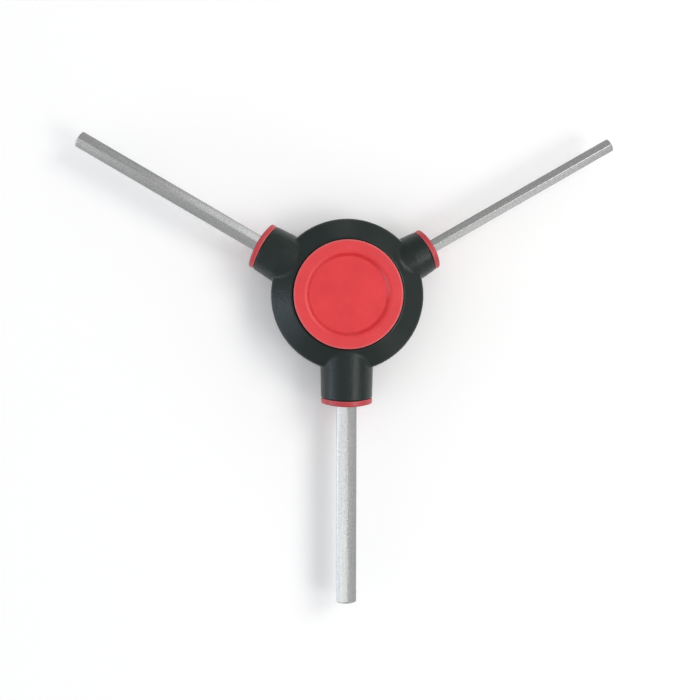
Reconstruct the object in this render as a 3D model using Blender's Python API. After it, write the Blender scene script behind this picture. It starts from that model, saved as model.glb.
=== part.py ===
"""Three-way hex wrench: three hexagonal steel shafts in a round plastic hub.

Two hub shells close round the shafts on the middle plane. A cast core in the
middle takes the shaft tails in hexagonal sockets, and a cross pin holds each
tail. Three screws draw the shells together, and a cap closes the hub on each
face. A bush is trapped in the mouth of each barrel, round its shaft.

Metres. +Z is the front of the tool, -Y is the way the largest shaft points,
and the origin is the middle of the rear face, which the tool rests on. Every
piece is drawn about the middle plane, and one empty lifts them all.
"""

import math

import bmesh
import bpy
from mathutils import Matrix, Vector

# Whole tool
SHAFT_REACH = 0.092  # hub axis to the tip of each shaft
HUB_RADIUS = 0.0227  # hub over its rim
HUB_THICKNESS = 0.020  # front cap face to rear cap face
FIT_GAP = 0.0003  # air between two pieces that seat on each other
OVERRUN = 0.001  # how far a cutter runs past what it cuts

# The three arms, by the size of their hexagon
SIZES = ("4mm", "5mm", "6mm")
DIRECTION = {"4mm": 30.0, "5mm": 150.0, "6mm": 270.0}  # degrees round the hub axis
GAP_MIDDLE = 60.0  # degrees from an arm to the middle of the gap after it
ACROSS_FLATS = {"4mm": 0.004, "5mm": 0.005, "6mm": 0.006}
BARREL_LENGTH = {"4mm": 0.0049, "5mm": 0.0064, "6mm": 0.0088}  # beyond the hub rim
BARREL_ROOT_RADIUS = {"4mm": 0.00685, "5mm": 0.0076, "6mm": 0.00785}  # at the hub rim
BARREL_END_RADIUS = {"4mm": 0.0064, "5mm": 0.00715, "6mm": 0.00765}  # at its mouth

# Hub dome, with heights from the middle plane
CAP_PROUD = 0.0019  # cap face above the top of the dome
DOME_CROWN = 0.0001  # how far the dome bulges past a plain cone
RIM_HEIGHT = 0.0032  # top of the rim's straight side
RIM_ROUND = 0.0015  # from there into the dome
SEAT_LAND = 0.0003  # flat edge round the cap's recess
SHELL_WALL = 0.0019

# Caps
CAP_RADIUS = 0.016
CAP_THICKNESS = 0.0028
CAP_EDGE_ROUND = 0.0004
CAP_FOOT_CHAMFER = 0.0003
DISH_LIP_RADIUS = 0.0127
DISH_FLOOR_RADIUS = 0.0109
DISH_DEPTH = 0.0009
GROOVE_WIDTH = 0.002  # ring in the rear cap, where the front one has its dish
GROOVE_DEPTH = 0.0006
GROOVE_FLOOR_SHARE = 0.4  # of the groove's width
PEG_RADIUS = 0.0011
PEG_LENGTH = 0.0022
PEG_TURN = 28.0  # degrees from the screws to the cap pegs

# Hub core and its cross pins
CORE_RADIUS = 0.010
CORE_EDGE_CHAMFER = 0.0004
TAIL_RADIUS = 0.004  # hub axis to the inner end of each shaft
PIN_CIRCLE_RADIUS = 0.007
PIN_RADIUS = 0.0009
PIN_END_CHAMFER = 0.0002

# Shafts
SHAFT_CORNER_ROUND = 0.0002
TIP_CHAMFER_SHARE = 0.11  # length of the tip's chamfer, of the across flats
TIP_FACE_SHARE = 0.86  # radius of the tip's flat face, of half the across flats

# End bushes
BUSH_BAND = 0.0017  # from the barrel's mouth to the bush's outer face
BUSH_EDGE_ROUND = 0.0006
BUSH_WALL = 0.0012  # at the corners of its hexagon
BUSH_BEAD_RISE = 0.0007  # the bead that the shells trap
BUSH_BEAD_LENGTH = 0.0012
BUSH_DEPTH = 0.0032  # how far the bush reaches into its barrel

# Shell screws
SCREW_SHANK_RADIUS = 0.00125
SCREW_REACH = 0.0036  # tip of the screw past the middle plane
SCREW_POINT = 0.0008
SCREW_HEAD_RADIUS = 0.0024
SCREW_HEAD_HEIGHT = 0.0015
SCREW_HEAD_SINK = 0.0002  # top of the head below the cap's recess
SCREW_HEAD_ROUND = 0.0004
DRIVE_WIDTH = 0.0006  # cross slots in the head
DRIVE_LENGTH = 0.0026
DRIVE_DEPTH = 0.0008

# How finely round shapes are cut. What cuts a shape has another count than that
# shape, so that no corner of one falls on a corner of the other.
HUB_STEPS = 64
SEAT_STEPS = 60
CORE_STEPS = 48
BARREL_STEPS = 32
HOLLOW_STEPS = 28
SMALL_STEPS = 12
ROUND_STEPS = 3
FACE_RINGS = 3  # rings across a face that is wrapped round the hub axis
SMOOTH_ANGLE = math.radians(32)

# Places that follow from the sizes above
HALF_THICKNESS = HUB_THICKNESS / 2
DOME_TOP = HALF_THICKNESS - CAP_PROUD
SEAT_RADIUS = CAP_RADIUS + FIT_GAP
DOME_EDGE_RADIUS = SEAT_RADIUS + SEAT_LAND
CAP_UNDERSIDE = HALF_THICKNESS - CAP_THICKNESS
SEAT_FLOOR = CAP_UNDERSIDE - FIT_GAP
CORE_HALF_HEIGHT = CAP_UNDERSIDE - FIT_GAP
CORE_BORE_RADIUS = CORE_RADIUS + FIT_GAP
SCREW_CIRCLE_RADIUS = (CORE_BORE_RADIUS + SEAT_RADIUS) / 2

# Finishes: linear colour, roughness, metallic
SOFT_BLACK = ((0.034, 0.039, 0.038), 0.55, 0.0)
RED = ((0.80, 0.055, 0.065), 0.45, 0.0)
SATIN_CHROME = ((0.56, 0.57, 0.56), 0.32, 1.0)
CAST_ZINC = ((0.42, 0.43, 0.45), 0.5, 1.0)
PIN_STEEL = ((0.50, 0.50, 0.52), 0.25, 1.0)
SCREW_ZINC = ((0.62, 0.62, 0.60), 0.35, 1.0)


# Objects

def clear_scene():
    for old in list(bpy.data.objects):
        bpy.data.objects.remove(old, do_unlink=True)


def empty(name, parent=None, location=(0, 0, 0), turn=0.0):
    """A frame that pieces are drawn in, turned about Z by degrees."""
    frame = bpy.data.objects.new(name, None)
    frame.parent = parent
    frame.location = location
    frame.rotation_euler.z = math.radians(turn)
    bpy.context.scene.collection.objects.link(frame)
    return frame


def made(name, shape, parent):
    """The object that holds a finished bmesh, faces pointing out."""
    bmesh.ops.recalc_face_normals(shape, faces=shape.faces)
    mesh = bpy.data.meshes.new(name)
    shape.to_mesh(mesh)
    shape.free()
    mesh.shade_smooth()
    mesh.set_sharp_from_angle(angle=SMOOTH_ANGLE)
    thing = bpy.data.objects.new(name, mesh)
    thing.parent = parent
    bpy.context.scene.collection.objects.link(thing)
    return thing


def helper(name, shape, parent):
    """A cutter or a construction body, which is not a piece of the tool."""
    tool = made(name, shape, parent)
    tool.hide_render = True
    tool.display_type = "WIRE"
    return tool


def piece(name, shape, parent, finish):
    """A piece of the tool, with a material of its own."""
    colour, roughness, metallic = finish
    material = bpy.data.materials.new(name + "_finish")
    material.use_nodes = True
    shader = material.node_tree.nodes["Principled BSDF"]
    shader.inputs["Base Color"].default_value = (*colour, 1)
    shader.inputs["Roughness"].default_value = roughness
    shader.inputs["Metallic"].default_value = metallic
    thing = made(name, shape, parent)
    thing.data.materials.append(material)
    return thing


def combine(target, other, operation):
    modifier = target.modifiers.new(other.name, "BOOLEAN")
    modifier.operation = operation
    modifier.solver = "EXACT"
    modifier.object = other


def cut(target, *cutters):
    for cutter in cutters:
        combine(target, cutter, "DIFFERENCE")


def join(target, *bodies):
    for body in bodies:
        combine(target, body, "UNION")


# Shapes

def turned(outline, steps, closed=False):
    """The (radius, height) outline turned about Z. An open one ends on the axis.

    Its corners stand half a step off X and Y, clear of the edges of what cuts it.
    """
    shape = bmesh.new()
    points = [shape.verts.new((radius, 0, height)) for radius, height in outline]
    pairs = list(zip(points, points[1:]))
    if closed:
        pairs.append((points[-1], points[0]))
    edges = [shape.edges.new(pair) for pair in pairs]
    bmesh.ops.spin(
        shape, geom=points + edges, cent=(0, 0, 0), axis=(0, 0, 1),
        angle=math.tau, steps=steps, use_merge=True,
    )
    bmesh.ops.remove_doubles(shape, verts=shape.verts, dist=FIT_GAP / 1000)
    half_step = Matrix.Rotation(math.pi / steps, 3, "Z")
    bmesh.ops.rotate(shape, verts=shape.verts, cent=(0, 0, 0), matrix=half_step)
    return shape


def laid_along_x(shape):
    """Tips a shape that was drawn along Z over to +X."""
    bmesh.ops.rotate(
        shape, verts=shape.verts, cent=(0, 0, 0),
        matrix=Matrix.Rotation(math.pi / 2, 3, "Y"),
    )
    return shape


def cylinder(radius, low, high, steps):
    outline = [(0, low), (radius, low), (radius, high), (0, high)]
    return turned(outline, steps)


def block(low, high):
    """A box between two corners."""
    shape = bmesh.new()
    bmesh.ops.create_cube(shape, size=1)
    low, high = Vector(low), Vector(high)
    bmesh.ops.scale(shape, vec=high - low, verts=shape.verts)
    bmesh.ops.translate(shape, vec=(low + high) / 2, verts=shape.verts)
    return shape


def hex_bar(across_flats, start, end, corner_round=0.0):
    """A hexagonal bar along +X, with a corner toward +Z."""
    corner_radius = across_flats / math.sqrt(3)
    shape = bmesh.new()
    corners = []
    for corner in range(6):
        angle = math.radians(60 * corner)
        across = corner_radius * math.sin(angle)
        up = corner_radius * math.cos(angle)
        corners.append(shape.verts.new((start, across, up)))
    outline = shape.faces.new(corners)
    extruded = bmesh.ops.extrude_face_region(shape, geom=[outline])["geom"]
    far_end = [item for item in extruded if isinstance(item, bmesh.types.BMVert)]
    bmesh.ops.translate(shape, vec=(end - start, 0, 0), verts=far_end)
    if corner_round:
        runs = [
            edge for edge in shape.edges
            if abs(edge.verts[0].co.x - edge.verts[1].co.x) > FIT_GAP
        ]
        bmesh.ops.bevel(shape, geom=runs, offset=corner_round, segments=2, profile=0.5)
    return shape


def arc(centre, radius, start, end, steps=ROUND_STEPS):
    """Points on an arc in an outline, by its centre and its angles in degrees."""
    points = []
    for step in range(steps + 1):
        angle = math.radians(start + (end - start) * step / steps)
        across = centre[0] + radius * math.cos(angle)
        up = centre[1] + radius * math.sin(angle)
        points.append((across, up))
    return points


def crowned(start, end, crown, steps):
    """Points between two outline points, bulging outward by the crown halfway."""
    run = Vector(end) - Vector(start)
    outward = Vector((-run.y, run.x)).normalized()
    points = []
    for step in range(1, steps):
        share = step / steps
        bulge = crown * 4 * share * (1 - share)
        points.append(tuple(Vector(start) + run * share + outward * bulge))
    return points


def wrapped(shape, least_x):
    """Bends planes square to X, from least_x on, into cylinders about the hub axis."""
    for vert in shape.verts:
        if vert.co.x >= least_x:
            vert.co.x = math.sqrt(vert.co.x**2 - vert.co.y**2)
    bmesh.ops.triangulate(shape, faces=shape.faces)
    return shape


def face_rings(outer, inner):
    """Radii across a face, so that it bends smoothly when it is wrapped."""
    return [outer + (inner - outer) * ring / FACE_RINGS for ring in range(1, FACE_RINGS)]


# Sizes that each arm has of its own

def mouth(size):
    """Hub axis to the mouth of the barrel, along the arm."""
    return HUB_RADIUS + BARREL_LENGTH[size]


def bush_neck_radius(size):
    return ACROSS_FLATS[size] / math.sqrt(3) + FIT_GAP + BUSH_WALL


def bush_bead_radius(size):
    return bush_neck_radius(size) + BUSH_BEAD_RISE


# Hub shells

def dome_fall():
    """Degrees that the dome falls below level, so that it runs smoothly into the rim's round."""
    across = HUB_RADIUS - RIM_ROUND - DOME_EDGE_RADIUS
    down = DOME_TOP - RIM_HEIGHT
    beside_round = math.asin(RIM_ROUND / math.hypot(across, down))
    return math.degrees(math.atan2(down, across) - beside_round)


def dome_outline():
    """One half of the hub's outside, from the cap's recess down to the middle plane."""
    top = (DOME_EDGE_RADIUS, DOME_TOP)
    rim_centre = (HUB_RADIUS - RIM_ROUND, RIM_HEIGHT)
    rim = arc(rim_centre, RIM_ROUND, 90 - dome_fall(), 0)
    slope = crowned(rim[0], top, -DOME_CROWN, ROUND_STEPS)[::-1]
    return [(0, DOME_TOP), top, *slope, *rim]


def hub_body():
    front = dome_outline()
    rear = [(radius, -height) for radius, height in reversed(front)]
    return turned(front + rear, HUB_STEPS)


def barrel_body(size):
    """The tapered round barrel, whose mouth follows a cylinder about the hub axis."""
    start = SCREW_CIRCLE_RADIUS
    end = mouth(size)
    root = BARREL_ROOT_RADIUS[size]
    tip = BARREL_END_RADIUS[size]
    outline = [(0, start), (root, start), (root, HUB_RADIUS), (tip, end)]
    outline += [(radius, end) for radius in face_rings(tip, 0)]
    outline.append((0, end))
    barrel = laid_along_x(turned(outline, BARREL_STEPS))
    return wrapped(barrel, (HUB_RADIUS + end) / 2)


def bush_outline(size, gap):
    """Outside of the bush's neck and bead. With a gap, the hollow that they sit in."""
    end = mouth(size)
    bead_start = end - BUSH_DEPTH
    bead_end = bead_start + BUSH_BEAD_LENGTH
    neck = bush_neck_radius(size) + gap
    bead = bush_bead_radius(size) + gap
    return [
        (0, bead_start - gap), (bead, bead_start - gap),
        (bead, bead_end + gap), (neck, bead_end + gap),
    ]


def bush_hollow(size):
    outline = bush_outline(size, FIT_GAP)
    past_mouth = mouth(size) + OVERRUN
    outline += [(bush_neck_radius(size) + FIT_GAP, past_mouth), (0, past_mouth)]
    return wrapped(laid_along_x(turned(outline, HOLLOW_STEPS)), CORE_BORE_RADIUS)


def pocket_ring():
    """The hollow inside the rim of the shells, before the arms cross it."""
    inner = DOME_EDGE_RADIUS
    outer = HUB_RADIUS - SHELL_WALL
    inner_roof = DOME_TOP - SHELL_WALL
    outer_roof = RIM_HEIGHT
    outline = [
        (inner, -inner_roof), (outer, -outer_roof),
        (outer, outer_roof), (inner, inner_roof),
    ]
    return turned(outline, HUB_STEPS, closed=True)


def housing(tool, arms):
    """Both shells as one body, with everything cut that they share."""
    body = helper("housing", hub_body(), tool)
    pockets = helper("pockets", pocket_ring(), tool)
    for size in SIZES:
        half_width = BARREL_ROOT_RADIUS[size]
        low = (0, -half_width, -HALF_THICKNESS)
        high = (HUB_RADIUS, half_width, HALF_THICKNESS)
        cut(pockets, helper("arm_wall_" + size, block(low, high), arms[size]))
        join(body, helper("barrel_" + size, barrel_body(size), arms[size]))
    seat_top = HALF_THICKNESS + OVERRUN
    for side, low, high in (("front", SEAT_FLOOR, seat_top), ("rear", -seat_top, -SEAT_FLOOR)):
        seat = cylinder(SEAT_RADIUS, low, high, SEAT_STEPS)
        cut(body, helper("cap_seat_" + side, seat, tool))
    core_bore = cylinder(CORE_BORE_RADIUS, -HALF_THICKNESS, HALF_THICKNESS, CORE_STEPS)
    cut(body, helper("core_bore", core_bore, tool), pockets)
    for size in SIZES:
        bore_flats = ACROSS_FLATS[size] + 2 * FIT_GAP
        bore = hex_bar(bore_flats, TAIL_RADIUS, mouth(size) + OVERRUN)
        cut(body, helper("shaft_bore_" + size, bore, arms[size]))
        cut(body, helper("bush_hollow_" + size, bush_hollow(size), arms[size]))
    return body


def round_hub(name, shape_of, tool, turn=0.0):
    """One shape in each gap between the arms, on the screws' circle, turned from its middle."""
    places = []
    for number, size in enumerate(SIZES, start=1):
        angle = math.radians(DIRECTION[size] + GAP_MIDDLE + turn)
        across = SCREW_CIRCLE_RADIUS * math.cos(angle)
        up = SCREW_CIRCLE_RADIUS * math.sin(angle)
        frame = empty(f"{name}_frame_{number}", tool, (across, up, 0))
        places.append(shape_of(f"{name}_{number}", frame))
    return places


def shell(name, tool, body, side):
    """One half of the housing: side is 1 for the front and -1 for the rear."""
    reach = HUB_RADIUS + max(BARREL_LENGTH.values()) + OVERRUN
    near, far = sorted((side * FIT_GAP / 2, side * (HALF_THICKNESS + OVERRUN)))
    half = piece(name, block((-reach, -reach, near), (reach, reach, far)), tool, SOFT_BLACK)
    combine(half, body, "INTERSECT")
    low, high = sorted((side * (SEAT_FLOOR - PEG_LENGTH), side * (SEAT_FLOOR + OVERRUN)))

    def peg_hole(hole_name, frame):
        hole = cylinder(PEG_RADIUS + FIT_GAP, low, high, SMALL_STEPS)
        return helper(hole_name, hole, frame)

    cut(half, *round_hub(name + "_peg_hole", peg_hole, tool, side * PEG_TURN))
    return half


def front_shell(tool, body):
    half = shell("front_shell", tool, body, 1)

    def pilot(name, frame):
        radius = SCREW_SHANK_RADIUS + FIT_GAP
        hole = cylinder(radius, -OVERRUN, SCREW_REACH + FIT_GAP, SMALL_STEPS)
        return helper(name, hole, frame)

    cut(half, *round_hub("screw_pilot", pilot, tool))
    return half


def rear_shell(tool, body):
    half = shell("rear_shell", tool, body, -1)
    ledge = -SEAT_FLOOR + SCREW_HEAD_SINK + SCREW_HEAD_HEIGHT + FIT_GAP

    def stepped_hole(name, frame):
        head = SCREW_HEAD_RADIUS + FIT_GAP
        shank = SCREW_SHANK_RADIUS + FIT_GAP
        outline = [
            (0, -HALF_THICKNESS), (head, -HALF_THICKNESS),
            (head, ledge), (shank, ledge), (shank, OVERRUN), (0, OVERRUN),
        ]
        return helper(name, turned(outline, SMALL_STEPS), frame)

    cut(half, *round_hub("screw_clearance", stepped_hole, tool))
    return half


# Caps

def cap_outline(face):
    """A cap's outline, from the middle of its underside to the edge of its face."""
    edge_centre = (CAP_RADIUS - CAP_EDGE_ROUND, HALF_THICKNESS - CAP_EDGE_ROUND)
    return [
        (0, CAP_UNDERSIDE),
        (CAP_RADIUS - CAP_FOOT_CHAMFER, CAP_UNDERSIDE),
        (CAP_RADIUS, CAP_UNDERSIDE + CAP_FOOT_CHAMFER),
        *arc(edge_centre, CAP_EDGE_ROUND, 0, 90),
        *face,
    ]


def dished_face():
    floor = HALF_THICKNESS - DISH_DEPTH
    return [(DISH_LIP_RADIUS, HALF_THICKNESS), (DISH_FLOOR_RADIUS, floor), (0, floor)]


def grooved_face():
    """A flat face with a ring groove, so that the tool rests on its middle."""
    floor = HALF_THICKNESS - GROOVE_DEPTH
    inner = DISH_LIP_RADIUS - GROOVE_WIDTH
    slope = GROOVE_WIDTH * (1 - GROOVE_FLOOR_SHARE) / 2
    return [
        (DISH_LIP_RADIUS, HALF_THICKNESS), (DISH_LIP_RADIUS - slope, floor),
        (inner + slope, floor), (inner, HALF_THICKNESS), (0, HALF_THICKNESS),
    ]


def cap(name, tool, face, side):
    outline = [(radius, side * height) for radius, height in cap_outline(face)]
    disc = piece(name, turned(outline, HUB_STEPS), tool, RED)
    root = CAP_UNDERSIDE + CAP_FOOT_CHAMFER
    low, high = sorted((side * (CAP_UNDERSIDE - PEG_LENGTH), side * root))

    def peg(peg_name, frame):
        return helper(peg_name, cylinder(PEG_RADIUS, low, high, SMALL_STEPS), frame)

    join(disc, *round_hub(name + "_peg", peg, tool, side * PEG_TURN))
    return disc


# Core, shafts and pins

def core(tool, arms):
    """The core and its sockets. A wide one is scalloped, clear of the screws' heads."""
    rim = CORE_RADIUS - CORE_EDGE_CHAMFER
    shoulder = CORE_HALF_HEIGHT - CORE_EDGE_CHAMFER
    outline = [
        (0, -CORE_HALF_HEIGHT), (rim, -CORE_HALF_HEIGHT), (CORE_RADIUS, -shoulder),
        (CORE_RADIUS, shoulder), (rim, CORE_HALF_HEIGHT), (0, CORE_HALF_HEIGHT),
    ]
    hub = piece("hub_core", turned(outline, CORE_STEPS), tool, CAST_ZINC)
    for size in SIZES:
        flats = ACROSS_FLATS[size] + 2 * FIT_GAP
        socket = hex_bar(flats, TAIL_RADIUS - FIT_GAP, CORE_RADIUS + OVERRUN)
        cut(hub, helper("socket_" + size, socket, arms[size]), pin_hole(size, arms[size]))

    def screw_room(name, frame):
        radius = SCREW_HEAD_RADIUS + FIT_GAP
        room = cylinder(radius, -HALF_THICKNESS, HALF_THICKNESS, SMALL_STEPS)
        return helper(name, room, frame)

    cut(hub, *round_hub("screw_room", screw_room, tool))
    return hub


def pin_hole(size, arm):
    tall = HALF_THICKNESS
    hole = cylinder(PIN_RADIUS + FIT_GAP, -tall, tall, SMALL_STEPS)
    bmesh.ops.translate(hole, vec=(PIN_CIRCLE_RADIUS, 0, 0), verts=hole.verts)
    return helper("pin_hole_" + size, hole, arm)


def shaft(size, arm):
    """A hexagonal shaft, whose tip is turned down to a flat face."""
    flats = ACROSS_FLATS[size]
    bar = hex_bar(flats, TAIL_RADIUS, SHAFT_REACH, SHAFT_CORNER_ROUND)
    key = piece("hex_shaft_" + size, bar, arm, SATIN_CHROME)
    clear_radius = flats / math.sqrt(3) + FIT_GAP
    corner_radius = flats / math.sqrt(3)
    chamfer_start = SHAFT_REACH - TIP_CHAMFER_SHARE * flats
    outline = [
        (0, TAIL_RADIUS - OVERRUN), (clear_radius, TAIL_RADIUS - OVERRUN),
        (clear_radius, chamfer_start), (corner_radius, chamfer_start),
        (TIP_FACE_SHARE * flats / 2, SHAFT_REACH), (0, SHAFT_REACH),
    ]
    envelope = laid_along_x(turned(outline, BARREL_STEPS))
    combine(key, helper("tip_envelope_" + size, envelope, arm), "INTERSECT")
    cut(key, bpy.data.objects["pin_hole_" + size])
    return key


def cross_pin(size, arm):
    low_rim = PIN_RADIUS - PIN_END_CHAMFER
    end = CORE_HALF_HEIGHT
    outline = [
        (0, -end), (low_rim, -end), (PIN_RADIUS, PIN_END_CHAMFER - end),
        (PIN_RADIUS, end - PIN_END_CHAMFER), (low_rim, end), (0, end),
    ]
    pin = piece("cross_pin_" + size, turned(outline, SMALL_STEPS), arm, PIN_STEEL)
    pin.location.x = PIN_CIRCLE_RADIUS
    return pin


# End bushes

def end_bush(size, arm):
    """A bush round the shaft: its band follows the barrel, its bead is trapped inside."""
    end = mouth(size)
    band_start = end + FIT_GAP
    face = end + BUSH_BAND
    band = BARREL_END_RADIUS[size]
    neck = bush_neck_radius(size)
    edge_centre = (band - BUSH_EDGE_ROUND, face - BUSH_EDGE_ROUND)
    outline = bush_outline(size, 0)
    outline += [(neck, band_start)]
    outline += [(radius, band_start) for radius in face_rings(neck, band)]
    outline += [(band, band_start), *arc(edge_centre, BUSH_EDGE_ROUND, 0, 90)]
    outline += [(radius, face) for radius in face_rings(band - BUSH_EDGE_ROUND, 0)]
    outline.append((0, face))
    bush = wrapped(laid_along_x(turned(outline, BARREL_STEPS)), CORE_BORE_RADIUS)
    ring = piece("end_bush_" + size, bush, arm, RED)
    bore_flats = ACROSS_FLATS[size] + 2 * FIT_GAP
    bore = hex_bar(bore_flats, HUB_RADIUS - OVERRUN, face + OVERRUN)
    cut(ring, helper("bush_bore_" + size, bore, arm))
    return ring


# Screws

def screw(name, frame):
    """A pan-head screw that enters from the rear, with crossed slots in its head."""
    head_top = -SEAT_FLOOR + SCREW_HEAD_SINK
    under_head = head_top + SCREW_HEAD_HEIGHT
    point_start = SCREW_REACH - SCREW_POINT
    round_centre = (SCREW_HEAD_RADIUS - SCREW_HEAD_ROUND, head_top + SCREW_HEAD_ROUND)
    outline = [
        (0, head_top), *arc(round_centre, SCREW_HEAD_ROUND, 270, 360),
        (SCREW_HEAD_RADIUS, under_head), (SCREW_SHANK_RADIUS, under_head),
        (SCREW_SHANK_RADIUS, point_start), (SCREW_SHANK_RADIUS / 2, SCREW_REACH),
        (0, SCREW_REACH),
    ]
    fastener = piece(name, turned(outline, SMALL_STEPS), frame, SCREW_ZINC)
    for turn in (0, 90):
        low = (-DRIVE_LENGTH / 2, -DRIVE_WIDTH / 2, head_top - OVERRUN)
        high = (DRIVE_LENGTH / 2, DRIVE_WIDTH / 2, head_top + DRIVE_DEPTH)
        slot = helper(f"{name}_slot_{turn}", block(low, high), frame)
        slot.rotation_euler.z = math.radians(turn)
        cut(fastener, slot)
    return fastener


def build():
    clear_scene()
    tool = empty("tool", location=(0, 0, HALF_THICKNESS))
    arms = {size: empty("arm_" + size, tool, turn=DIRECTION[size]) for size in SIZES}
    body = housing(tool, arms)
    front_shell(tool, body)
    rear_shell(tool, body)
    cap("front_cap", tool, dished_face(), 1)
    cap("rear_cap", tool, grooved_face(), -1)
    core(tool, arms)
    for size in SIZES:
        shaft(size, arms[size])
        cross_pin(size, arms[size])
        end_bush(size, arms[size])
    round_hub("shell_screw", screw, tool)


build()
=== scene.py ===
"""The looks of the three-way hex wrench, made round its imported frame.

Metres, in the frame's axes: +Z out of the front cap, -Y along the 6 mm shaft.
The shells, caps, bushes and shafts are remade here as finer meshes in the same
places, and the pieces inside the hub keep the frame's shapes.
"""

import math

import bmesh
import bpy
import numpy as np
from mathutils import Matrix, Vector


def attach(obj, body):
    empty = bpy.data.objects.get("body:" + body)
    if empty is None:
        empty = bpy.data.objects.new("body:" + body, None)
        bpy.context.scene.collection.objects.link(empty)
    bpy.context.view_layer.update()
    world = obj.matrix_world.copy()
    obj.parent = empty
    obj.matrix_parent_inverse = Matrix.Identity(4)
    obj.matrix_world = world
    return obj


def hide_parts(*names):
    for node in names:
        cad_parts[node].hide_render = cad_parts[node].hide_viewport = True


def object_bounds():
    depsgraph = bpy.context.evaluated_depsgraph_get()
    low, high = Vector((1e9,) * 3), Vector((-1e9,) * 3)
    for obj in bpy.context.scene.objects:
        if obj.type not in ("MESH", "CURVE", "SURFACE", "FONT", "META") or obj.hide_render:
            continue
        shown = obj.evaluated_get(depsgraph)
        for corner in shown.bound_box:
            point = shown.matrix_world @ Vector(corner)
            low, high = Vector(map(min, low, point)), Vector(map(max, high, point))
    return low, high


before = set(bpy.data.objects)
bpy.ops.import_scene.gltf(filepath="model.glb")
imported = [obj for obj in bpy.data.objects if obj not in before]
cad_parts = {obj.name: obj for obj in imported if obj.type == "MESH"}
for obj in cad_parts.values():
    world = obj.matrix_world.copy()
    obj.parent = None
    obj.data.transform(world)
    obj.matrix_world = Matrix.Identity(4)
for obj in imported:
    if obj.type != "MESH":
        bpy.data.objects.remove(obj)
CAD_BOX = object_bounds()

# Hub, with heights from its middle plane
MIDDLE = CAD_BOX[1].z / 2
HUB_RADIUS = 0.0227
DOME_TOP = 0.0081
DOME_EDGE_RADIUS = 0.0166
RIM_HEIGHT = 0.0032
RIM_ROUND = 0.0015
SEAT_RADIUS = 0.0163
SEAT_FLOOR = 0.0069
BARREL_START = 0.0133
PARTING_GAP = 0.0001
SEAT_ROUND = 0.0003
PARTING_ROUND = 0.00035
MOUTH_ROUND = 0.0004
JOIN_FILLET = 0.00045

# Arms, by the size of their hexagon
SIZES = ("4mm", "5mm", "6mm")
DIRECTION = {"4mm": 30.0, "5mm": 150.0, "6mm": 270.0}
ACROSS_FLATS = {"4mm": 0.004, "5mm": 0.005, "6mm": 0.006}
BARREL_LENGTH = {"4mm": 0.0049, "5mm": 0.0064, "6mm": 0.0088}
BARREL_ROOT_RADIUS = {"4mm": 0.00685, "5mm": 0.0076, "6mm": 0.00785}
BARREL_END_RADIUS = {"4mm": 0.0064, "5mm": 0.00715, "6mm": 0.00765}

# Caps, a little wider than the frame's, so that the gap round them shows as a fine line
CAP_RADIUS = 0.0161
CAP_THICKNESS = 0.0028
CAP_EDGE_ROUND = 0.00045
CAP_FOOT_ROUND = 0.0003
# A faint painted highlight over the cap's rim, full on its rounded edge
CAP_RIM_HIGHLIGHT = 0.12
DISH_LIP_RADIUS = 0.0129
DISH_WALL_RADIUS = 0.0122
DISH_FLOOR_RADIUS = 0.0112
DISH_WALL_START = 0.00015
DISH_DEPTH = 0.0009
DISH_LIP_ROUND = 0.0008
DISH_WALL_ROUND = 0.0003
DISH_FLOOR_ROUND = 0.00025
GROOVE_OUTER_RADIUS = 0.0127
GROOVE_WIDTH = 0.002
GROOVE_DEPTH = 0.0006
GROOVE_ROUND = 0.0002

# Bushes and shafts
FIT_GAP = 0.0003
BUSH_BAND = 0.0017
BAND_GAP = 0.00006
BUSH_EDGE_ROUND = 0.0005
BUSH_INNER_ROUND = 0.0003
BUSH_SMALL_ROUND = 0.00015
# The bush's pale painted highlight by the barrel, and its painted shade in the gap and on the
# outer face
BUSH_HIGHLIGHT_WIDTH = 0.00012
BUSH_SHADE_DEPTH = 0.00018
BUSH_FACE_SHADE = 0.6
BUSH_WALL = 0.0012
BUSH_BEAD_RISE = 0.0007
BUSH_BEAD_LENGTH = 0.0012
BUSH_DEPTH = 0.0032
SHAFT_REACH = 0.092
SHAFT_START = 0.004
SHAFT_CORNER_ROUND = 0.00016
SHAFT_CROWN_SHARE = 0.02
TIP_CHAMFER_SHARE = 0.11
TIP_FACE_SHARE = 0.86
TIP_EDGE_ROUND = 0.00008

# What a finish reads at each vertex: its place before the piece was turned on to its arm,
# how much painted highlight it carries and how much painted shade
DRAWN_PLACE = "drawn_place"
PAINTED_HIGHLIGHT = "painted_highlight"
PAINTED_SHADE = "painted_shade"

# How finely the meshes are cut
MERGE_DISTANCE = 0.000003
SHELL_VOXEL = 0.00028
SETTLING_STEPS = 4
LEAST_STEEPNESS = 0.1
SMOOTHING_ROUNDS = 3
TURNED_STEPS = 192
BUSH_STEPS = 96
SHAFT_LENGTHS = 40
SHAFT_START_SHARES = (0.5, 0.98, 1)
CHAMFER_SHARES = (0.12, 0.5, 0.88)
TIP_FACE_SHARES = (0.9, 0.5)
ARC_STEPS = 7
EDGE_SUPPORT_SHARE = 0.2
LONGEST_FACE = 0.0006

# Camera and light
CAMERA_PLACE = (-0.02154, -0.01392, 0.409)
CAMERA_TURN = (-0.0061, -0.0564, 0.0029)
CAMERA_LENS = 68.55
LAMP_DISTANCE = 1.2
NEUTRAL = (1.0, 1.0, 1.0)
WARM = (1.0, 0.985, 0.975)
COOL = (0.62, 0.77, 1.0)
ROOM_LEVELS = (0.57, 0.36, 0.67)
FLOOR_COLOUR = 0.88
FLOOR_GLOW = 0.09
FLOOR_REACH = 4.0


# Outlines

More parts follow.
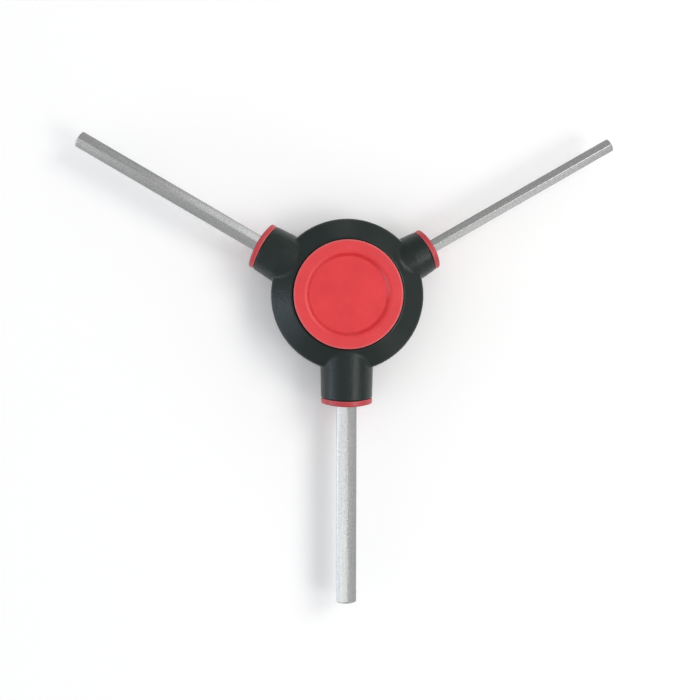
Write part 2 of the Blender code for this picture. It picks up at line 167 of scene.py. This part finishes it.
def filleted(corners, closed=False):
    """The outline through (across, up, radius) corners, each rounded by its radius.

    Each point comes with the number of its corner. A point a little way along each
    straight run keeps that run's shading flat.
    """
    points = []
    for number, (across, up, radius) in enumerate(corners):
        here = Vector((across, up))
        ends = not closed and number in (0, len(corners) - 1)
        if ends or not radius:
            points.append((here.x, here.y, number))
            continue
        before = (Vector(corners[number - 1][:2]) - here).normalized()
        after = (Vector(corners[(number + 1) % len(corners)][:2]) - here).normalized()
        half = before.angle(after) / 2
        reach = radius / math.tan(half)
        centre = here + (before + after).normalized() * radius / math.sin(half)
        support = radius * EDGE_SUPPORT_SHARE
        points.append((*(here + before * (reach + support)), number))
        first = here + before * reach - centre
        last = here + after * reach - centre
        sweep = math.atan2(first.cross(last), first.dot(last))
        for step in range(ARC_STEPS + 1):
            turn = Matrix.Rotation(sweep * step / ARC_STEPS, 2)
            points.append((*(centre + turn @ first), number))
        points.append((*(here + after * (reach + support)), number))
    return points


def divided(points, longest, closed=False):
    """The same points, with more on every run longer than the longest."""
    out = []
    following = points[1:] + points[:1] if closed else points[1:]
    for here, there in zip(points, following):
        out.append(here)
        run = math.dist(here[:2], there[:2])
        parts = max(1, math.ceil(run / longest))
        for part in range(1, parts):
            share = part / parts
            out.append(tuple(a + (b - a) * share for a, b in zip(here, there)))
    if not closed:
        out.append(points[-1])
    return out


def on_round(points, corner):
    """1 for each point on one corner's round, and 0 for the rest."""
    numbers = [point[2] for point in points]
    beside = zip(numbers[-1:] + numbers[:-1], numbers, numbers[1:] + numbers[:1])
    return [float(set(three) == {corner}) for three in beside]


def between(points, inner, outer, start):
    """1 for each point between two radii, from the start corner on, and 0 for the rest."""
    return [float(inner <= point[0] <= outer and point[2] >= start) for point in points]


# Meshes

def new_object(name, mesh):
    thing = bpy.data.objects.new(name, mesh)
    bpy.context.scene.collection.objects.link(thing)
    return thing


def vectors(items, name):
    """One of a mesh's sets of vectors, with a row for each."""
    values = np.empty(len(items) * 3)
    items.foreach_get(name, values)
    return values.reshape(-1, 3)


def ring_body(name, rings, start_pole=None, end_pole=None):
    """A closed body through rings of equally many points, with a fan at each pole.

    With no poles, the last ring joins on to the first.
    """
    count = len(rings[0])
    verts = [tuple(point) for ring in rings for point in ring]
    faces = []
    looped = start_pole is None
    for ring in range(len(rings) if looped else len(rings) - 1):
        following = (ring + 1) % len(rings)
        for step in range(count):
            beside = (step + 1) % count
            faces.append((
                ring * count + step, ring * count + beside,
                following * count + beside, following * count + step,
            ))
    if not looped:
        for pole, ring in ((start_pole, 0), (end_pole, len(rings) - 1)):
            verts.append(tuple(pole))
            for step in range(count):
                beside = (step + 1) % count
                faces.append((len(verts) - 1, ring * count + beside, ring * count + step))
    mesh = bpy.data.meshes.new(name)
    mesh.from_pydata(verts, [], faces)
    shape = bmesh.new()
    shape.from_mesh(mesh)
    bmesh.ops.recalc_face_normals(shape, faces=shape.faces)
    shape.to_mesh(mesh)
    shape.free()
    mesh.shade_smooth()
    return new_object(name, mesh)


def mark_rings(thing, mark, amounts):
    """Writes an amount for each ring's vertices. Poles come last and have none."""
    verts = len(thing.data.vertices)
    count = verts // len(amounts)
    values = np.zeros(verts)
    values[:count * len(amounts)] = np.repeat(amounts, count)
    layer = thing.data.attributes.new(mark, "FLOAT", "POINT")
    layer.data.foreach_set("value", values)


def circle(radius, height, steps):
    angles = [math.tau * step / steps for step in range(steps)]
    return [(radius * math.cos(angle), radius * math.sin(angle), height) for angle in angles]


# Shells

def rounded_cut(one, two, radius):
    """The field of what lies in both, with the edge between them rounded."""
    outside = np.hypot(np.maximum(one + radius, 0), np.maximum(two + radius, 0))
    return np.minimum(-radius, np.maximum(one, two)) + outside


def rounded_join(one, two, radius):
    """The field of what lies in either, with a fillet between them."""
    inside = np.hypot(np.maximum(radius - one, 0), np.maximum(radius - two, 0))
    return np.maximum(radius, np.minimum(one, two)) - inside


def on_arm(points, size):
    """Distances along, across and above an arm's axis."""
    angle = math.radians(DIRECTION[size])
    along = points[:, 0] * math.cos(angle) + points[:, 1] * math.sin(angle)
    across = points[:, 1] * math.cos(angle) - points[:, 0] * math.sin(angle)
    return along, across, points[:, 2]


def mouth(size):
    return HUB_RADIUS + BARREL_LENGTH[size]


def barrel_field(points, size):
    along, across, up = on_arm(points, size)
    share = np.clip((along - HUB_RADIUS) / BARREL_LENGTH[size], 0, 1)
    root = BARREL_ROOT_RADIUS[size]
    radius = root + (BARREL_END_RADIUS[size] - root) * share
    side = np.hypot(across, up) - radius
    end = np.hypot(along, across) - mouth(size)
    return np.maximum(rounded_cut(side, end, MOUTH_ROUND), BARREL_START - along)


def dome_field(points):
    """A cone that falls away from the cap and runs smoothly into a rounded rim."""
    radius = np.hypot(points[:, 0], points[:, 1])
    across = HUB_RADIUS - RIM_ROUND - DOME_EDGE_RADIUS
    down = DOME_TOP - RIM_HEIGHT
    fall = math.atan2(down, across) - math.asin(RIM_ROUND / math.hypot(across, down))
    run = radius - DOME_EDGE_RADIUS
    cone = run * math.sin(fall) + (points[:, 2] - DOME_TOP) * math.cos(fall)
    out = radius - (HUB_RADIUS - RIM_ROUND)
    up = points[:, 2] - RIM_HEIGHT
    turn = np.arctan2(up, out)
    past_cone = (turn > 0) & (turn < math.pi / 2 - fall)
    rim = np.hypot(out, up) - RIM_ROUND
    return np.where(past_cone, rim, np.maximum(cone, radius - HUB_RADIUS))


def hub_field(points):
    """Below zero inside the hub: its dome, with the barrels run into it."""
    field = dome_field(points)
    for size in SIZES:
        field = rounded_join(field, barrel_field(points, size), JOIN_FILLET)
    return field


def shell_field(points):
    """The hub's front half, down to the parting plane, with the cap's seat cut into it."""
    radius = np.hypot(points[:, 0], points[:, 1])
    field = rounded_cut(hub_field(points), points[:, 2] - DOME_TOP, SEAT_ROUND)
    seat = -np.maximum(radius - SEAT_RADIUS, SEAT_FLOOR - points[:, 2])
    field = rounded_cut(field, seat, SEAT_ROUND)
    return rounded_cut(field, PARTING_GAP / 2 - points[:, 2], PARTING_ROUND)


def field_slope(points, field):
    step = SHELL_VOXEL / 50
    slopes = []
    for axis in np.eye(3):
        slopes.append((field(points + axis * step) - field(points - axis * step)) / (2 * step))
    return np.stack(slopes, axis=1)


def settled(points, field):
    """Points moved on to the field's surface, by a voxel at most in each step."""
    for _ in range(SETTLING_STEPS):
        slope = field_slope(points, field)
        steepness = np.maximum((slope**2).sum(axis=1), LEAST_STEEPNESS)
        move = (field(points) / steepness)[:, None] * slope
        size = np.linalg.norm(move, axis=1, keepdims=True)
        points = points - move * (SHELL_VOXEL / np.maximum(size, SHELL_VOXEL))
    return points


def smoothed(points, edges, chosen):
    """The points, with those chosen evened out along the shell's surface."""
    neighbours = np.bincount(edges.ravel(), minlength=len(points))[:, None]
    for _ in range(SMOOTHING_ROUNDS):
        total = np.zeros_like(points)
        np.add.at(total, edges[:, 0], points[edges[:, 1]])
        np.add.at(total, edges[:, 1], points[edges[:, 0]])
        middle = total / neighbours
        points[chosen] = settled((points[chosen] + middle[chosen]) / 2, shell_field)
    return points


def outside_of_shell(points):
    """Which points show, or lie beside what shows."""
    near = np.abs(shell_field(points)) < 2 * SHELL_VOXEL
    skin = hub_field(points) > -3 * SHELL_VOXEL
    past_seat = np.hypot(points[:, 0], points[:, 1]) > SEAT_RADIUS - SHELL_VOXEL
    chosen = near & skin & past_seat
    for size in SIZES:
        along, across, up = on_arm(points, size)
        hollow = ACROSS_FLATS[size] / math.sqrt(3) + BUSH_WALL + 2 * FIT_GAP + SHELL_VOXEL
        chosen &= ~((along > HUB_RADIUS) & (np.hypot(across, up) < hollow))
    return chosen


def remeshed(node):
    """A fine, even mesh of a node's own shape."""
    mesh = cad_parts[node].data.copy()
    shape = bmesh.new()
    shape.from_mesh(mesh)
    bmesh.ops.remove_doubles(shape, verts=shape.verts, dist=MERGE_DISTANCE)
    shape.to_mesh(mesh)
    shape.free()
    rough = new_object(node + "_rough", mesh)
    voxels = rough.modifiers.new("even", "REMESH")
    voxels.mode = "VOXEL"
    voxels.voxel_size = SHELL_VOXEL
    graph = bpy.context.evaluated_depsgraph_get()
    fine = bpy.data.meshes.new_from_object(rough.evaluated_get(graph))
    bpy.data.objects.remove(rough)
    return fine


def shell(name, node, side):
    """A shell with true round surfaces, fillets and edges. Side is 1 at the front."""
    mesh = remeshed(node)
    edges = np.empty(len(mesh.edges) * 2, dtype=np.int32)
    mesh.edges.foreach_get("vertices", edges)
    points = vectors(mesh.vertices, "co")
    points[:, 2] = side * (points[:, 2] - MIDDLE)
    chosen = outside_of_shell(points)
    points[chosen] = settled(points[chosen], shell_field)
    points = smoothed(points, edges.reshape(-1, 2), chosen)
    slope = field_slope(points[chosen], shell_field)
    slope[:, 2] *= side
    points[:, 2] = MIDDLE + side * points[:, 2]
    mesh.vertices.foreach_set("co", points.ravel())
    mesh.update()
    normals = vectors(mesh.vertices, "normal")
    normals[chosen] = slope / np.linalg.norm(slope, axis=1, keepdims=True)
    mesh.shade_smooth()
    mesh.normals_split_custom_set_from_vertices([tuple(normal) for normal in normals])
    mesh.name = name
    return new_object(name, mesh)


# Caps

def cap(name, face, side):
    """A turned cap with a pale painted highlight on its edge and rim, and painted shade on its
    dish's wall or in its groove.

    Side is 1 at the front. The outline runs from the middle of the underside to the
    middle of the face.
    """
    under = MIDDLE - CAP_THICKNESS
    corners = [(0, under, 0), (CAP_RADIUS, under, CAP_FOOT_ROUND)]
    edge_corner = len(corners)
    corners += [(CAP_RADIUS, MIDDLE, CAP_EDGE_ROUND), *face]
    outline = divided(filleted(corners), 4 * LONGEST_FACE)
    rings = [circle(radius, side * height, TURNED_STEPS) for radius, height, _ in outline[1:-1]]
    poles = [(0, 0, side * outline[end][1]) for end in (0, -1)]
    disc = ring_body(name, rings, *poles)
    # A pale painted highlight on the rounded edge and faintly over the rim
    edge = on_round(outline, edge_corner)
    rim = between(outline, DISH_LIP_RADIUS, CAP_RADIUS, edge_corner)
    pale_highlight = [max(one, CAP_RIM_HIGHLIGHT * other) for one, other in zip(edge, rim)]
    # Painted shade on the dish's wall, and in the groove on the rear cap
    wall = between(outline, DISH_FLOOR_RADIUS, DISH_WALL_RADIUS, edge_corner)
    mark_rings(disc, PAINTED_HIGHLIGHT, pale_highlight[1:-1])
    mark_rings(disc, PAINTED_SHADE, wall[1:-1])
    disc.data.transform(Matrix.Translation((0, 0, MIDDLE)))
    return disc


def dished_face():
    floor = MIDDLE - DISH_DEPTH
    return [
        (DISH_LIP_RADIUS, MIDDLE, DISH_LIP_ROUND),
        (DISH_WALL_RADIUS, MIDDLE - DISH_WALL_START, DISH_WALL_ROUND),
        (DISH_FLOOR_RADIUS, floor, DISH_FLOOR_ROUND), (0, floor, 0),
    ]


def grooved_face():
    floor = MIDDLE - GROOVE_DEPTH
    slope = GROOVE_DEPTH
    inner = GROOVE_OUTER_RADIUS - GROOVE_WIDTH
    return [
        (GROOVE_OUTER_RADIUS, MIDDLE, GROOVE_ROUND),
        (GROOVE_OUTER_RADIUS - slope, floor, GROOVE_ROUND),
        (inner + slope, floor, GROOVE_ROUND),
        (inner, MIDDLE, GROOVE_ROUND), (0, MIDDLE, 0),
    ]


# Bushes

def hexagon_share(angle):
    """How far out a hexagon with a corner at angle zero reaches, against its flats."""
    from_corner = angle % math.radians(60)
    return 1 / math.cos(from_corner - math.radians(30))


def bush(name, size):
    """A bush whose faces follow the barrel's mouth, with a hexagonal bore."""
    end = mouth(size)
    bead_start = end - BUSH_DEPTH
    bead_end = bead_start + BUSH_BEAD_LENGTH
    band_start = end + BAND_GAP
    face = end + BUSH_BAND
    bore = ACROSS_FLATS[size] / 2 + FIT_GAP
    band = BARREL_END_RADIUS[size]
    neck = ACROSS_FLATS[size] / math.sqrt(3) + FIT_GAP + BUSH_WALL
    bead = neck + BUSH_BEAD_RISE
    small = BUSH_SMALL_ROUND
    corners = [
        (bore, face, small), (band, face, BUSH_EDGE_ROUND),
        (band, band_start, BUSH_INNER_ROUND),
        (neck, band_start, small), (neck, bead_end, small), (bead, bead_end, small),
        (bead, bead_start, small), (bore, bead_start, small),
    ]
    in_bore = (0, len(corners) - 1)
    outline = [
        (radius, along, float(number in in_bore))
        for radius, along, number in filleted(corners, closed=True)
    ]
    rings, wear_and_highlight, painted_shade = [], [], []
    for radius, along, hexagonal in divided(outline, LONGEST_FACE, closed=True):
        by_barrel = along < band_start + BUSH_INNER_ROUND
        depth = band - radius
        # A pale painted highlight along the crest of the inner round by the barrel
        wear_and_highlight.append(float(by_barrel and 0 < depth < BUSH_HIGHLIGHT_WIDTH))
        # Painted shade in the gap by the barrel and on the outer face
        if by_barrel:
            painted_shade.append(float(depth > BUSH_SHADE_DEPTH))
        else:
            painted_shade.append(BUSH_FACE_SHADE * float(along > face - BUSH_EDGE_ROUND / 2))
        ring = []
        for step in range(BUSH_STEPS):
            angle = math.tau * step / BUSH_STEPS
            out = radius * (1 + hexagonal * (hexagon_share(angle) - 1))
            across = out * math.sin(angle)
            forward = math.sqrt(along**2 - across**2)
            ring.append((forward, across, out * math.cos(angle)))
        rings.append(ring)
    collar = ring_body(name, rings)
    mark_rings(collar, PAINTED_HIGHLIGHT, wear_and_highlight)
    mark_rings(collar, PAINTED_SHADE, painted_shade)
    place_on_arm(collar, size)
    return collar


def place_on_arm(thing, size):
    """Turns a mesh drawn along +X on to its arm. Its finish still follows the drawn shape."""
    drawn = vectors(thing.data.vertices, "co")
    place = thing.data.attributes.new(DRAWN_PLACE, "FLOAT_VECTOR", "POINT")
    place.data.foreach_set("vector", drawn.ravel())
    turn = Matrix.Rotation(math.radians(DIRECTION[size]), 4, "Z")
    thing.data.transform(Matrix.Translation((0, 0, MIDDLE)) @ turn)


# Shafts

def crowned(point):
    """A point of a hexagon, drawn in where it is far from the middle of its face."""
    angle = math.atan2(point.x, point.y) % math.radians(60) - math.radians(30)
    share = math.tan(angle) / math.tan(math.radians(30))
    return point * (1 - SHAFT_CROWN_SHARE * share**2)


def shaft(name, size):
    """A hexagonal bar with a corner up, whose tip is turned down to a flat face."""
    flats = ACROSS_FLATS[size]
    corner_radius = flats / math.sqrt(3)
    corners = []
    for corner in range(6):
        angle = math.radians(60 * corner)
        across = corner_radius * math.sin(angle)
        up = corner_radius * math.cos(angle)
        corners.append((across, up, SHAFT_CORNER_ROUND))
    outline = divided(filleted(corners, closed=True), LONGEST_FACE, closed=True)
    outline = [crowned(Vector(point[:2])) for point in outline]
    face_radius = TIP_FACE_SHARE * flats / 2
    chamfer_length = TIP_CHAMFER_SHARE * flats
    support = TIP_EDGE_ROUND

    def bar_ring(back):
        """A ring that lies back from the edge where the tip's chamfer starts."""
        ring = []
        for point in outline:
            share = (point.length - face_radius) / (corner_radius - face_radius)
            ring.append((SHAFT_REACH - chamfer_length * share - back, *point))
        return ring

    def chamfer_ring(share):
        edge = bar_ring(0)
        ring = []
        for (along, *across_up), point in zip(edge, outline):
            tip = point.normalized() * face_radius
            at = Vector(across_up).lerp(tip, share)
            ring.append((along + (SHAFT_REACH - along) * share, *at))
        return ring

    def flat_ring(along, radius_share):
        return [(along, *(point * radius_share)) for point in outline]

    def tip_ring(radius, back):
        return [(SHAFT_REACH - back, *(point.normalized() * radius)) for point in outline]

    rings = [flat_ring(SHAFT_START, share) for share in SHAFT_START_SHARES]
    rings.append(flat_ring(SHAFT_START + support, 1))
    stretch = SHAFT_REACH - 2 * chamfer_length - SHAFT_START
    for step in range(1, SHAFT_LENGTHS + 1):
        rings.append(flat_ring(SHAFT_START + stretch * step / SHAFT_LENGTHS, 1))
    rings += [bar_ring(support), bar_ring(0)]
    # The chamfer rings carry a painted dark reflection
    painted_shade = [0.0] * len(rings) + [1.0] * len(CHAMFER_SHARES)
    rings += [chamfer_ring(share) for share in CHAMFER_SHARES]
    rings.append(tip_ring(face_radius, support / 3))
    rings.append(tip_ring(face_radius - support, 0))
    rings += [tip_ring(face_radius * share, 0) for share in TIP_FACE_SHARES]
    painted_shade += [0.0] * (len(rings) - len(painted_shade))
    bar = ring_body(name, rings, (SHAFT_START, 0, 0), (SHAFT_REACH, 0, 0))
    mark_rings(bar, PAINTED_SHADE, painted_shade)
    place_on_arm(bar, size)
    return bar


# Materials

class Finish:
    """A material under construction, with short ways to add and join nodes.

    Its textures follow the object, or where drawn is set, the arm piece as first drawn.
    """

    def __init__(self, name, colour, roughness, metallic=0.0, drawn=False):
        self.material = bpy.data.materials.new(name)
        self.material.use_nodes = True
        self.nodes = self.material.node_tree.nodes
        self.links = self.material.node_tree.links
        self.shader = self.nodes["Principled BSDF"]
        self.shader.inputs["Base Color"].default_value = (*colour, 1)
        self.shader.inputs["Roughness"].default_value = roughness
        self.shader.inputs["Metallic"].default_value = metallic
        if drawn:
            place = self.nodes.new("ShaderNodeAttribute")
            place.attribute_name = DRAWN_PLACE
            self.place = place.outputs["Vector"]
        else:
            self.place = self.nodes.new("ShaderNodeTexCoord").outputs["Object"]

    def link(self, source, target):
        self.links.new(source, target)

    def stretched(self, scale):
        mapping = self.nodes.new("ShaderNodeMapping")
        mapping.inputs["Scale"].default_value = scale
        self.link(self.place, mapping.inputs["Vector"])
        return mapping.outputs["Vector"]

    def noise(self, scale, detail=2.0, roughness=0.5, stretch=(1, 1, 1)):
        noise = self.nodes.new("ShaderNodeTexNoise")
        noise.inputs["Scale"].default_value = scale
        noise.inputs["Detail"].default_value = detail
        noise.inputs["Roughness"].default_value = roughness
        self.link(self.stretched(stretch), noise.inputs["Vector"])
        return noise.outputs["Fac"]

    def ramp(self, source, *stops):
        """A colour ramp through (position, colour) stops. A number stands for a grey."""
        ramp = self.nodes.new("ShaderNodeValToRGB")
        elements = ramp.color_ramp.elements
        while len(elements) < len(stops):
            elements.new(0.5)
        for element, (position, colour) in zip(elements, stops):
            element.position = position
            if not isinstance(colour, tuple):
                colour = (colour, colour, colour)
            element.color = (*colour, 1)
        self.link(source, ramp.inputs["Fac"])
        return ramp.outputs["Color"]

    def maths(self, operation, one, two):
        node = self.nodes.new("ShaderNodeMath")
        node.operation = operation
        for socket, value in zip(node.inputs, (one, two)):
            if isinstance(value, (int, float)):
                socket.default_value = value
            else:
                self.link(value, socket)
        return node.outputs["Value"]

    def mix(self, factor, one, two):
        """A mix of two colours. The node has sockets for other types before a colour's."""
        node = self.nodes.new("ShaderNodeMix")
        node.data_type = "RGBA"
        sockets = [node.inputs[0], node.inputs[6], node.inputs[7]]
        for socket, value in zip(sockets, (factor, one, two)):
            if isinstance(value, tuple):
                socket.default_value = (*value, 1)
            elif isinstance(value, (int, float)):
                socket.default_value = value
            else:
                self.link(value, socket)
        return node.outputs[2]

    def marked(self, mark):
        """How strongly a painted highlight mark or a painted shade mark shows, broken up a
        little along the edge.
        """
        amount = self.nodes.new("ShaderNodeAttribute")
        amount.attribute_name = mark
        patches = self.ramp(self.noise(900), (0.3, 0.55), (0.7, 1.0))
        return self.maths("MULTIPLY", amount.outputs["Fac"], patches)

    def colour_from(self, source):
        self.link(source, self.shader.inputs["Base Color"])

    def roughness_from(self, source):
        self.link(source, self.shader.inputs["Roughness"])

    def bump(self, height, distance, strength):
        """Adds a bump over those already there."""
        bump = self.nodes.new("ShaderNodeBump")
        bump.inputs["Strength"].default_value = strength
        bump.inputs["Distance"].default_value = distance
        self.link(height, bump.inputs["Height"])
        socket = self.shader.inputs["Normal"]
        if socket.is_linked:
            self.link(socket.links[0].from_socket, bump.inputs["Normal"])
        self.link(bump.outputs["Normal"], socket)


def soft_black(name):
    """Black moulded plastic, soft to the touch: a fine grain, a little shinier in rubbed
    patches.
    """
    finish = Finish(name, (0.0098, 0.0175, 0.0155), 0.32)
    finish.shader.inputs["IOR"].default_value = 1.41
    tone = finish.noise(90, 4, 0.6)
    darker, paler = (0.0078, 0.0155, 0.0135), (0.0115, 0.02, 0.018)
    finish.colour_from(finish.ramp(tone, (0.3, darker), (0.7, paler)))
    wear_and_highlight = finish.noise(260, 5, 0.65)
    finish.roughness_from(finish.ramp(wear_and_highlight, (0.3, 0.27), (0.75, 0.38)))
    finish.bump(finish.noise(3600), distance=0.00004, strength=0.6)
    finish.bump(finish.noise(1100, 3, 0.6), distance=0.00015, strength=0.5)
    return finish.material


def red_plastic(name, colour, dark, pale_highlight):
    """Satin red moulded plastic: a fine grain, faint flow marks, a pale painted highlight along
    edges, and painted shade.
    """
    finish = Finish(name, colour, 0.42)
    finish.shader.inputs["IOR"].default_value = 1.58
    tone = finish.noise(140, 5, 0.6)
    flowed = finish.ramp(tone, (0.25, dark), (0.7, colour))
    # A darker red laid on as painted shade
    shade_colour = (0.92 * dark[0], 0.5 * dark[1], 0.5 * dark[2])
    shaded = finish.mix(finish.marked(PAINTED_SHADE), flowed, shade_colour)
    # A paler red laid on as painted highlight along edges
    finish.colour_from(finish.mix(finish.marked(PAINTED_HIGHLIGHT), shaded, pale_highlight))
    wear_and_highlight = finish.noise(420, 4, 0.6)
    finish.roughness_from(finish.ramp(wear_and_highlight, (0.3, 0.31), (0.75, 0.45)))
    finish.bump(finish.noise(4200), distance=0.00003, strength=0.5)
    finish.bump(finish.noise(500, 3), distance=0.00006, strength=0.25)
    return finish.material


def satin_chrome(name):
    """Satin chrome over drawn steel: long draw lines, a fine mottle and a tip darkened as a
    painted dark reflection.
    """
    finish = Finish(name, (0.58, 0.59, 0.58), 0.2, 1.0, drawn=True)
    mottle = finish.noise(2100, stretch=(0.8, 1, 1))
    drawn = finish.noise(2600, stretch=(0.02, 1, 1))
    cloud = finish.noise(260, 3, 0.6, stretch=(0.3, 1, 1))
    darker, paler = (0.5, 0.514, 0.512), (0.605, 0.615, 0.597)
    speckled = finish.ramp(mottle, (0.36, darker), (0.58, paler))
    lined = finish.ramp(drawn, (0.35, 0.51), (0.65, 0.61))
    plated = finish.mix(0.3, speckled, lined)
    # A dark colour on the tip's chamfer: a painted dark reflection
    dark_reflection = (0.2, 0.21, 0.215)
    finish.colour_from(finish.mix(finish.marked(PAINTED_SHADE), plated, dark_reflection))
    finish.roughness_from(finish.ramp(cloud, (0.3, 0.17), (0.7, 0.25)))
    finish.bump(mottle, distance=0.00002, strength=0.6)
    finish.bump(drawn, distance=0.00001, strength=0.2)
    return finish.material


def bare_metal(name, colour, roughness, grain, stretch=(1, 1, 1)):
    """Plain metal inside the hub: cast, ground or plated."""
    finish = Finish(name, colour, roughness, 1.0)
    tone = finish.noise(grain, 4, 0.6, stretch=stretch)
    dull = tuple(0.8 * part for part in colour)
    finish.colour_from(finish.ramp(tone, (0.3, dull), (0.7, colour)))
    finish.roughness_from(finish.ramp(tone, (0.3, roughness), (0.75, roughness + 0.15)))
    finish.bump(tone, distance=0.00003, strength=0.5)
    return finish.material


# Making the tool

def give_material(thing, material):
    thing.data.materials.clear()
    thing.data.materials.append(material)


def add_piece(thing, node, material):
    give_material(thing, material)
    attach(thing, "root")
    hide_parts(node)


def make_tool():
    black = soft_black("soft_black_plastic")
    # Paler red for the painted highlight along edges
    pale_highlight = (0.66, 0.12, 0.13)
    cap_red = red_plastic("cap_red_plastic", (0.86, 0.035, 0.045), (0.74, 0.023, 0.032), pale_highlight)
    bush_red = red_plastic("bush_red_plastic", (0.56, 0.044, 0.058), (0.45, 0.033, 0.046), pale_highlight)
    chrome = satin_chrome("satin_chrome_steel")
    add_piece(shell("front_shell_fine", "front_shell", 1), "front_shell", black)
    add_piece(shell("rear_shell_fine", "rear_shell", -1), "rear_shell", black)
    add_piece(cap("front_cap_fine", dished_face(), 1), "front_cap", cap_red)
    add_piece(cap("rear_cap_fine", grooved_face(), -1), "rear_cap", cap_red)
    for size in SIZES:
        collar = bush("end_bush_fine_" + size, size)
        add_piece(collar, "end_bush_" + size, bush_red)
        bar = shaft("hex_shaft_fine_" + size, size)
        add_piece(bar, "hex_shaft_" + size, chrome)
    finish_inside()


def finish_inside():
    """Finishes for the pieces that the closed hub hides."""
    cast = bare_metal("cast_zinc", (0.42, 0.43, 0.45), 0.45, 900)
    ground = bare_metal("ground_steel", (0.5, 0.5, 0.52), 0.22, 1500, (1, 1, 8))
    plated = bare_metal("zinc_plate", (0.62, 0.62, 0.6), 0.3, 700)
    give_material(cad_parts["hub_core"], cast)
    for size in SIZES:
        give_material(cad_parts["cross_pin_" + size], ground)
    for number in (1, 2, 3):
        give_material(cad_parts[f"shell_screw_{number}"], plated)


# Floor, light and camera

def make_floor():
    """A pale floor, white and glowing a little where the camera or a reflection sees it."""
    corners = [(-1, -1), (1, -1), (1, 1), (-1, 1)]
    mesh = bpy.data.meshes.new("floor")
    verts = [(FLOOR_REACH * x, FLOOR_REACH * y, 0) for x, y in corners]
    mesh.from_pydata(verts, [], [(0, 1, 2, 3)])
    floor = new_object("floor", mesh)
    finish = Finish("white_paper", (FLOOR_COLOUR, FLOOR_COLOUR, FLOOR_COLOUR), 0.9)
    finish.shader.inputs["Specular IOR Level"].default_value = 0
    path = finish.nodes.new("ShaderNodeLightPath")
    seen = finish.maths("MAXIMUM", path.outputs["Is Camera Ray"], path.outputs["Is Glossy Ray"])
    finish.colour_from(finish.ramp(seen, (0, FLOOR_COLOUR), (1, 1.0)))
    finish.shader.inputs["Emission Color"].default_value = (*NEUTRAL, 1)
    glow = finish.maths("MULTIPLY", seen, FLOOR_GLOW)
    finish.link(glow, finish.shader.inputs["Emission Strength"])
    give_material(floor, finish.material)


def softbox(name, azimuth, elevation, width, radiance, colour=NEUTRAL):
    """A round lamp aimed at the hub, by its direction and apparent width, in degrees."""
    across = 2 * LAMP_DISTANCE * math.tan(math.radians(width) / 2)
    area = math.pi * across**2 / 4
    data = bpy.data.lights.new(name, "AREA")
    data.shape = "DISK"
    data.size = across
    data.energy = radiance * math.pi * area
    data.color = colour
    lamp = bpy.data.objects.new(name, data)
    turn, up = math.radians(azimuth), math.radians(elevation)
    direction = Vector((
        math.cos(turn) * math.cos(up), math.sin(turn) * math.cos(up), math.sin(up),
    ))
    lamp.location = direction * LAMP_DISTANCE + Vector((0, 0, MIDDLE))
    lamp.rotation_euler = direction.to_track_quat("Z", "Y").to_euler()
    bpy.context.scene.collection.objects.link(lamp)


def make_light():
    """Two large lamps high on the right, smaller ones lower all round, and a grey room.

    The room's level runs smoothly between one for each axis.
    """
    world = bpy.data.worlds.new("studio")
    bpy.context.scene.world = world
    world.use_nodes = True
    nodes, links = world.node_tree.nodes, world.node_tree.links
    direction = nodes.new("ShaderNodeTexCoord").outputs["Generated"]
    squared = nodes.new("ShaderNodeVectorMath")
    squared.operation = "MULTIPLY"
    level = nodes.new("ShaderNodeVectorMath")
    level.operation = "DOT_PRODUCT"
    level.inputs[1].default_value = ROOM_LEVELS
    links.new(direction, squared.inputs[0])
    links.new(direction, squared.inputs[1])
    links.new(squared.outputs["Vector"], level.inputs[0])
    nodes["Background"].inputs["Color"].default_value = (*NEUTRAL, 1)
    links.new(level.outputs["Value"], nodes["Background"].inputs["Strength"])
    softbox("bank_back", 25, 50, 26, 4.25, WARM)
    softbox("bank_front", 335, 50, 26, 3.25, WARM)
    softbox("right_back", 59, 27, 20, 0.75)
    softbox("right_front", 313, 30, 18, 0.35)
    softbox("right_low", 315, 12, 18, 0.9)
    softbox("back_low", 90, 12, 18, 1.2)
    softbox("left_low", 190, 12, 20, 4.3, COOL)
    softbox("left_corner", 212, 12, 20, 2.0, COOL)
    softbox("left_high", 186, 33, 24, 0.6)
    softbox("left_front", 208, 33, 24, 0.42)


def make_camera():
    data = bpy.data.cameras.new("camera")
    data.lens = CAMERA_LENS
    camera = bpy.data.objects.new("camera", data)
    camera.location = CAMERA_PLACE
    camera.rotation_mode = "ZXY"
    camera.rotation_euler = CAMERA_TURN
    bpy.context.scene.collection.objects.link(camera)
    bpy.context.scene.camera = camera


make_tool()
make_floor()
make_light()
make_camera()
bpy.context.scene.view_settings.view_transform = "Standard"
